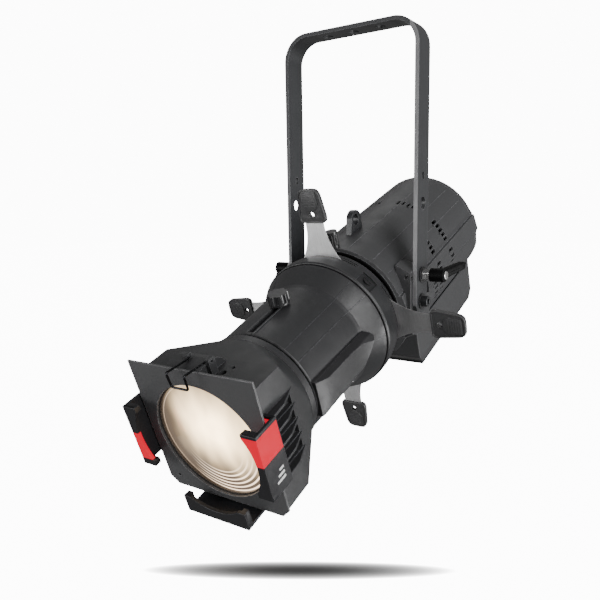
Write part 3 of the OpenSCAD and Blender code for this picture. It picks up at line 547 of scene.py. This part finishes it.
def revolve(profile, steps=ROUND_STEPS):
    """Mesh of revolution about the beam axis; the profile is a list of (radius, along) in mm."""
    work = bmesh.new()
    rings = []
    for radius, along in profile:
        if radius == 0:
            rings.append([work.verts.new(mm(0, 0, along))])
            continue
        turns = [2 * math.pi * i / steps for i in range(steps)]
        rings.append([work.verts.new(mm(radius * math.cos(t), radius * math.sin(t), along))
                      for t in turns])
    for a, b in zip(rings, rings[1:]):
        for i in range(steps):
            j = (i + 1) % steps
            corners = [a[i % len(a)], a[j % len(a)], b[j % len(b)], b[i % len(b)]]
            # at the axis two corners are the same vertex
            work.faces.new(list(dict.fromkeys(corners)))
    bmesh.ops.recalc_face_normals(work, faces=work.faces)
    return finish_mesh("revolved", work)


def finish_mesh(name, work):
    """Mesh from a bmesh, which is freed."""
    mesh = bpy.data.meshes.new(name)
    work.to_mesh(mesh)
    work.free()
    return mesh


def curve_mesh(curve):
    """Mesh of a curve, by way of a short-lived object."""
    holder = new_object(curve.name, curve)
    mesh = evaluated_mesh(holder)
    bpy.data.objects.remove(holder)
    return mesh


def slab(loops, low, high, bevel=0.0):
    """Flat plate from outlines in mm, the later ones holes, between two heights, edges rounded."""
    curve = bpy.data.curves.new("slab", "CURVE")
    curve.dimensions = "2D"
    curve.fill_mode = "BOTH"
    for loop in loops:
        spline = curve.splines.new("POLY")
        spline.points.add(len(loop) - 1)
        for point, (x, y) in zip(spline.points, loop):
            point.co = (x / 1000, y / 1000, 0, 1)
        spline.use_cyclic_u = True
    curve.extrude = max((high - low) / 2 - bevel, 0) / 1000
    curve.bevel_depth = bevel / 1000
    curve.bevel_resolution = 3
    curve.offset = -bevel / 1000
    mesh = curve_mesh(curve)
    mesh.transform(Matrix.Translation((0, 0, (high + low) / 2000)))
    return mesh


def joined(name, meshes, place=Matrix.Identity(4)):
    """One object from several meshes, which keep their own closed surfaces."""
    work = bmesh.new()
    for mesh in meshes:
        work.from_mesh(mesh)
    bmesh.ops.remove_doubles(work, verts=work.verts, dist=1e-6)
    mesh = finish_mesh(name, work)
    mesh.transform(place)
    smooth(mesh)
    return new_object(name, mesh)


def arc(x, y, radius, start, end, steps):
    """Points of an arc about (x, y), its angles in degrees."""
    return [(x + radius * math.cos(math.radians(start + (end - start) * i / steps)),
             y + radius * math.sin(math.radians(start + (end - start) * i / steps)))
            for i in range(steps + 1)]


def circle(x, y, radius, steps=32):
    return arc(x, y, radius, 0, 360, steps)[:-1]


def rounded(points, radius, steps=5):
    """Closed outline with each corner rounded."""
    made = []
    count = len(points)
    for i, point in enumerate(points):
        here = Vector(point)
        back = Vector(points[i - 1]) - here
        ahead = Vector(points[(i + 1) % count]) - here
        reach = min(radius, back.length * 0.45, ahead.length * 0.45)
        start = here + back.normalized() * reach
        end = here + ahead.normalized() * reach
        for k in range(steps + 1):
            t = k / steps
            made.append(tuple(start * (1 - t) ** 2 + here * 2 * t * (1 - t) + end * t ** 2))
    return made


def tube(name, points, radius, sides, place):
    """Round wire along points in mm."""
    curve = bpy.data.curves.new(name, "CURVE")
    curve.dimensions = "3D"
    spline = curve.splines.new("POLY")
    spline.points.add(len(points) - 1)
    for target, point in zip(spline.points, points):
        target.co = (*mm(*point), 1)
    curve.bevel_depth = radius / 1000
    curve.bevel_resolution = sides // 4
    curve.use_fill_caps = True
    mesh = curve_mesh(curve)
    mesh.transform(place)
    smooth(mesh, 50)
    return new_object(name, mesh)


def bent(points, radius, steps=6):
    """Open path with each inner corner rounded."""
    made = [Vector(points[0])]
    for before, here, after in zip(points, points[1:], points[2:]):
        here = Vector(here)
        start = here + (Vector(before) - here).normalized() * radius
        end = here + (Vector(after) - here).normalized() * radius
        for k in range(steps + 1):
            t = k / steps
            made.append(start * (1 - t) ** 2 + here * 2 * t * (1 - t) + end * t ** 2)
    made.append(Vector(points[-1]))
    return made


# ------------------------------------------------------------------ carried-over CAD nodes
for node, obj in frame["nodes"].items():
    obj.data.materials.clear()
    obj.data.materials.append(FINISHES[SLOT_OF[node]])

# width in mm by which each node's edges are rounded
ROUNDED = {
    "yoke": 0.9, "upper_shell": 0.7, "lower_shell": 0.7, "electronics_box": 1.6, "base_plate": 0.6,
    "rear_cover": 1.6, "side_hubs": 1.0, "safety_eye": 2.2, "gate_ring": 0.7, "gobo_cover": 0.6,
    "barrel_upper": 0.6, "barrel_lower": 0.6, "side_pods": 1.0, "lens_tube": 0.9, "front_plate": 0.5,
    "accessory_brackets": 0.8, "focus_knob": 0.9, "rotation_knob": 0.5, "cover_screw": 0.5,
    "right_lever": 1.4, "left_lever": 1.4, "right_lever_stud": 0.7, "left_lever_stud": 0.7,
    "pivot_bolts": 0.7, "yoke_washers": 0.3, "data_sockets": 0.8, "power_sockets": 0.8,
    "control_panel": 0.6, "fan_grille": 0.3,
}
for node, width in ROUNDED.items():
    refined(node, width)


# ------------------------------------------------------------------ front lens
def make_front_lens():
    """Lens bulged at both faces, a little more in front."""
    radius, rim_rear, rim_front, crown, back = 79.8, 361.0, 366.0, 7.0, 4.0
    steps = 28
    front = [(radius * i / steps, rim_front + crown * (1 - (i / steps) ** 2)) for i in range(steps + 1)]
    rear = [(radius * i / steps, rim_rear - back * (1 - (i / steps) ** 2))
            for i in range(steps, -1, -1)]
    mesh = revolve(front + rear)
    mesh.transform(OPTICAL)
    smooth(mesh, 40)
    obj = new_object("front_lens_glass", mesh)
    settle(obj, "focus_tube", "front_glass", "front_lens")
    # its glow is seen but doesn't tint the brackets
    obj.visible_diffuse = False


make_front_lens()


# ------------------------------------------------------------------ dark sheet behind the vents, a painted shade
def make_vent_shade():
    """Dark sheet tube between the heat sink and the shells, flanged at both ends; it stands for the
    shade inside the vents.
    """
    outer = [(86.0, -200), (88.6, -199.4), (88.6, -198), (86.6, -197), (86.6, -53), (88.6, -52),
             (88.6, -50.6), (86.0, -50)]
    inner = [(85.4, -52), (85.4, -198), (86.0, -200)]
    mesh = revolve(outer + inner, 96)
    mesh.transform(OPTICAL)
    smooth(mesh, 30)
    settle(new_object("vent_shade_sheet", mesh), "housing", "grille_wire", material=PAINTED_SHADE_BLACK)


make_vent_shade()


# ------------------------------------------------------------------ trim on the castings
BARREL_LINE = [(102.2, 106), (96.2, 118), (87.2, 134), (85.0, 142), (81.1, 260.5)]
HOUSING_LINE = [(98.2, -287), (98.2, 27)]
# bands around the beam axis: name, body, slot, own material, closed section of (radius, along)
BANDS = (
    ("gate_bead", "barrel", "barrel_paint", None,
     [(102.0, 99.6), (104.4, 99.9), (104.7, 100.5), (104.4, 101.1), (102.0, 101.5)]),
    ("gate_shadow_line", "barrel", "gate_paint", PAINTED_SHADE_BLACK,
     [(102.0, 101.6), (103.35, 101.7), (103.3, 103.0), (102.0, 103.1)]),
    # painted shade: black rings in the gaps before and behind the gate ring and behind the lens tube's
    # shoulder
    ("neck_gap_shade", "housing", "housing_paint", PAINTED_SHADE_BLACK,
     [(93.0, 37.2), (94.25, 37.4), (94.3, 40.6), (94.1, 41.2), (89.5, 41.4)]),
    ("ring_gap_shade", "barrel", "gate_paint", PAINTED_SHADE_BLACK,
     [(89.5, 43.2), (91.3, 43.4), (91.75, 50.3), (96.6, 50.7), (96.9, 50.9), (89.5, 51.0)]),
    ("shoulder_gap_shade", "focus_tube", "tube_paint", PAINTED_SHADE_BLACK,
     [(75.0, 262.3), (76.2, 262.5), (76.25, 266.2), (82.0, 266.45), (82.2, 266.5), (75.0, 266.6)]),
    ("barrel_lip", "barrel", "barrel_paint", None,
     [(79.5, 259.6), (81.6, 259.4), (82.0, 260.2), (81.6, 261.2), (79.5, 261.6)]),
)


def ridge(angle, profile, width, height):
    """Raised rib along a surface of revolution; the profile is a list of (radius, along) in mm."""
    a = math.radians(angle)
    outward = Vector((math.sin(a), math.cos(a), 0))
    aside = Vector((math.cos(a), -math.sin(a), 0))
    work = bmesh.new()
    rows = []
    foot = -0.6
    section = ((-width / 2, foot), (-width * 0.3, height), (width * 0.3, height), (width / 2, foot))
    for radius, along in profile:
        row = []
        for offset, rise in section:
            corner = outward * (radius + rise) + aside * offset + Vector((0, 0, along))
            row.append(work.verts.new(corner / 1000))
        rows.append(row)
    for a, b in zip(rows, rows[1:]):
        for i in range(4):
            work.faces.new((a[i], a[(i + 1) % 4], b[(i + 1) % 4], b[i]))
    work.faces.new(rows[0])
    work.faces.new(rows[-1])
    bmesh.ops.recalc_face_normals(work, faces=work.faces)
    return finish_mesh("ridge", work)


def surface_frame(angle, start, end):
    """Axes on a surface of revolution: X across, Y forward from start to end, Z outward."""
    a = math.radians(angle)
    outward = Vector((math.sin(a), math.cos(a), 0))
    low = outward * start[0] + Vector((0, 0, start[1]))
    along = (outward * end[0] + Vector((0, 0, end[1])) - low).normalized()
    across = along.cross(outward).normalized()
    axes = Matrix((across, along, across.cross(along))).transposed().to_4x4()
    axes.translation = low / 1000
    return axes


def stadium(half, low, high):
    """Outline of a slot with round ends, along Y."""
    return arc(0, high, half, 0, 180, 14) + arc(0, low, half, 180, 360, 14)


def make_trim():
    """Panel lines, the focus slot's border, and the bands around the castings."""
    lines = [ridge(angle, BARREL_LINE, 1.5, 0.45) for angle in (-53.5, -37.5, 37.5, 53.5)]
    settle(joined("barrel_lines", lines, OPTICAL), "barrel", "gate_paint")
    lines = [ridge(angle, HOUSING_LINE, 1.5, 0.4) for angle in (-54.5, -37, -12.5, 12.5, 37, 54.5)]
    settle(joined("housing_lines", lines, OPTICAL), "housing", "housing_paint")

    border = slab([stadium(7.4, 2, 68), stadium(4.5, 2, 68)], -1.4, 1.1, 0.5)
    border.transform(surface_frame(0, (83.45, 186), (81.2, 254)))
    settle(joined("focus_slot_border", [border], OPTICAL), "barrel", "barrel_paint")

    for name, body, slot, material, profile in BANDS:
        band = revolve(profile + profile[:1])
        settle(joined(name, [band], OPTICAL), body, slot, material=material)


make_trim()


# ------------------------------------------------------------------ end tabs of the bracket lips
# name, turn about the beam, half length of the lip, width of the tabs, shift upwards
LIPS = (("right", 0, 44, 21, 6.5), ("left", 180, 44, 21, 6.5), ("lower", -90, 48, 25, 2.0))
LIP_OUTER = 100.9
TAB_LEN = 8


def make_tabs():
    """Thicker blocks at both ends of each lip."""
    for name, turn, half_len, width, shift in LIPS:
        inner = LIP_OUTER - width
        tabs = []
        for end in (-1, 1):
            low, high = sorted((end * (half_len - TAB_LEN), end * half_len))
            block = rounded([(inner, low), (LIP_OUTER, low), (LIP_OUTER, high), (inner, high)], 1.6, 3)
            tabs.append(slab([block], 389.5, 398.8, 0.7))
        raised = OPTICAL @ Matrix.Translation(mm(0, shift, 0))
        place = raised @ Matrix.Rotation(math.radians(turn), 4, "Z")
        settle(joined(name + "_lip_tabs", tabs, place), "focus_tube", "bracket_paint")


make_tabs()


# ------------------------------------------------------------------ shutter handles
GRIP_IN = 153
GRIP_LEN = 50
GRIP_TIP = GRIP_IN + GRIP_LEN
GRIP_HOLE = GRIP_IN + 12.8
THUMB = 13  # half width of the thumb pad
# turn about the beam, place along it, and how far the shutter is pulled out at rest
HANDLES = {"top": (0, 69, 0), "right": (-90, 61, 0), "bottom": (180, 65, 7), "left": (90, 73, 0)}


def handle_outline(inset=0.0):
    """Paddle with ears at its inner end and a blunt rounded tip, drawn in by inset."""
    half = [(17.4, 0.2), (20.4, 2.4), (21.8, 8), (20.6, 18), (19.0, 31), (17.4, 42.5), (13.6, 48.6),
            (6, 49.8)]
    middle = Vector((0, GRIP_LEN / 2))
    outline = half + [(-x, y) for x, y in reversed(half)]
    if inset:
        outline = [tuple(Vector(p) - (Vector(p) - middle).normalized() * inset) for p in outline]
    return [(x, y + GRIP_IN) for x, y in rounded(outline, 3, 4)]


def make_handle(side):
    """Moulded grip: thin web, raised rim, ribbed thumb pad, boss around the hole, step at the blade."""
    turn, s, pull = HANDLES[side]
    hole = circle(0, GRIP_HOLE, 4.0)
    thumb_y = GRIP_TIP - 20
    thumb = [(-11.5, GRIP_TIP - 5), (-THUMB, thumb_y)] + arc(0, thumb_y, THUMB, 180, 360, 16)
    thumb = thumb + [(THUMB, thumb_y), (11.5, GRIP_TIP - 5)]
    web = slab([handle_outline(0.6), hole], -2.3, 2.3, 0.2)
    rim = slab([handle_outline(), handle_outline(2.6)], -3.5, 3.5, 0.9)
    pad = slab([thumb], -4.2, 4.2, 0.7)
    boss = slab([circle(0, GRIP_HOLE, 5.6), hole], -2.9, 2.9, 0.4)
    collar = rounded([(-16.5, 0.2), (16.5, 0.2), (15.2, 3.0), (-15.2, 3.0)], 1.0)
    step = slab([[(x, y + GRIP_IN) for x, y in collar]], -3.3, 3.3, 0.6)
    ribs = []
    for y in (25, 28.5, 32, 35.5, 39, 42.5):
        bar = rounded([(-9.5, y), (9.5, y), (9.5, y + 1.3), (-9.5, y + 1.3)], 0.6, 3)
        ribs.append(slab([[(x, v + GRIP_IN) for x, v in bar]], -4.6, 4.6, 0.3))
    place = OPTICAL @ Matrix.Rotation(math.radians(turn), 4, "Z") @ Matrix.Translation(mm(0, pull, s))
    obj = joined(side + "_grip", [web, rim, pad, boss, step] + ribs, place)
    settle(obj, side + "_shutter", "handle_plastic", side + "_handle")


for side in HANDLES:
    make_handle(side)


# ------------------------------------------------------------------ wire clip
def make_clip():
    """Bent wire from a lug on either side, forward over the slot and down in front of the lens."""
    x, h, s = 13.5, 101, 350
    path = [(-x - 7, h, s), (-x, h, s), (-x, 105, 389), (-x + 1, 86, 388),
            (x - 1, 86, 388), (x, 105, 389), (x, h, s), (x + 7, h, s)]
    obj = tube("clip_wire", bent(path, 3.2), 1.4, 16, OPTICAL)
    settle(obj, "clip", "clip_steel", "wire_clip")


make_clip()


# ------------------------------------------------------------------ beam mark on the right bracket
def make_beam_mark():
    """A generic sign: three upright bars, each longer than the last."""
    pitch, width, foot, thickness = 6.4, 3, 3, 0.3
    meshes = []
    for index, length in enumerate((8, 12, 16)):
        low = index * pitch
        bar = [(low, foot), (low + width, foot), (low + width, foot + length), (low, foot + length)]
        meshes.append(slab([rounded(bar, 0.9, 3)], 0, thickness))
    # the plate's X runs down the bracket, its Y forward along the beam
    face = Matrix(((0, 0, 1, 0.10072), (-1, 0, 0, -0.008), (0, 1, 0, 0.3665), (0, 0, 0, 1)))
    obj = joined("beam_mark", meshes, OPTICAL @ face)
    settle(obj, "focus_tube", "bracket_paint", material=INK)


make_beam_mark()


# ------------------------------------------------------------------ floor, lights and sky
# the painted shade, in floor axes turned so that its long side lies across the view
SHADE_TURN = -32.07
SHADE_CENTRE = (-0.0839, -0.3368)
SHADE_HALF = (0.162, 0.0165)
SHADE_REACH = 1.1  # where the shade ends, in half sizes
SHADE_DARKEST = 0.0036  # share of the floor's brightness left in the middle
FLOOR_DROP = 0.035
SKY_AS_LIGHT, SKY_AS_BACKDROP = 0.26, 12.0


def make_floor():
    """White paper below the lamp with a flat pool of shade painted on it."""
    low = cad_bounds[0][2]
    mesh = bpy.data.meshes.new("floor")
    reach = 6.0
    height = low - FLOOR_DROP
    mesh.from_pydata([(-reach, -reach, height), (reach, -reach, height), (reach, reach, height),
                      (-reach, reach, height)], [], [(0, 1, 2, 3)])
    floor = new_object("floor", mesh)
    n = Nodes("floor_paper")
    turn = (0, 0, math.radians(SHADE_TURN))
    x, y, _ = n.xyz(n.stretched(n.place(), (1, 1, 1), turn))
    across, along = (n.math("DIVIDE", n.math("SUBTRACT", place, centre), half)
                     for place, centre, half in zip((x, y), SHADE_CENTRE, SHADE_HALF))
    off = n.math("DIVIDE", n.length(across, along), SHADE_REACH)
    shade = n.remap(n.math("POWER", off, 2.4), 1.0, 0.0)
    left_over = n.math("POWER", SHADE_DARKEST, shade)
    n.link(n.mix(left_over, (0, 0, 0), (1, 1, 1)), n.shader.inputs["Emission Color"])
    paper = n.mix(n.noise(n.place(), 3, 2), (0.93, 0.93, 0.93), (0.96, 0.96, 0.96))
    n.feed(n.mix(shade, paper, (0.01, 0.01, 0.01)),
           n.remap(n.noise(n.place(), 200, 2), 0.3, 0.7, 0.7, 0.8))
    n.set(Emission_Strength=SKY_AS_BACKDROP)
    mesh.materials.append(n.material)
    # the bright paper is seen but doesn't light the dark lamp from below
    floor.visible_diffuse = False
    floor.visible_glossy = False


def area_light(name, place, aim, size, power):
    """White rectangular light at a place, turned to its aim."""
    light = bpy.data.lights.new(name, "AREA")
    light.shape = "RECTANGLE"
    light.size = size[0]
    light.size_y = size[1]
    light.energy = power
    holder = new_object(name, light)
    holder.location = place
    holder.rotation_euler = (Vector(aim) - Vector(place)).to_track_quat("-Z", "Y").to_euler()


def make_light():
    """White sky, brighter to look at than it is as a light, and four soft lights."""
    world = bpy.data.worlds.new("sky")
    bpy.context.scene.world = world
    world.use_nodes = True
    tree = world.node_tree
    sky = tree.nodes["Background"]
    sky.inputs[0].default_value = (1, 1, 1, 1)
    seen = tree.nodes.new("ShaderNodeLightPath").outputs["Is Camera Ray"]
    strength = tree.nodes.new("ShaderNodeMapRange")
    strength.inputs["To Min"].default_value = SKY_AS_LIGHT
    strength.inputs["To Max"].default_value = SKY_AS_BACKDROP
    tree.links.new(seen, strength.inputs[0])
    tree.links.new(strength.outputs[0], sky.inputs[1])
    area_light("key", (2.2, -0.9, 0.15), (0, 0, -0.45), (1.5, 2.0), 70)
    area_light("low_side", (2.2, 0.9, -1.1), (0, 0.2, -0.45), (1.4, 1.4), 95)
    area_light("front_fill", (-1.2, -2.3, -0.6), (0, -0.1, -0.5), (1.3, 1.5), 50)
    area_light("top_rim", (-0.9, 1.0, 1.7), (0, 0, -0.4), (1.2, 1.2), 7)


make_floor()
make_light()
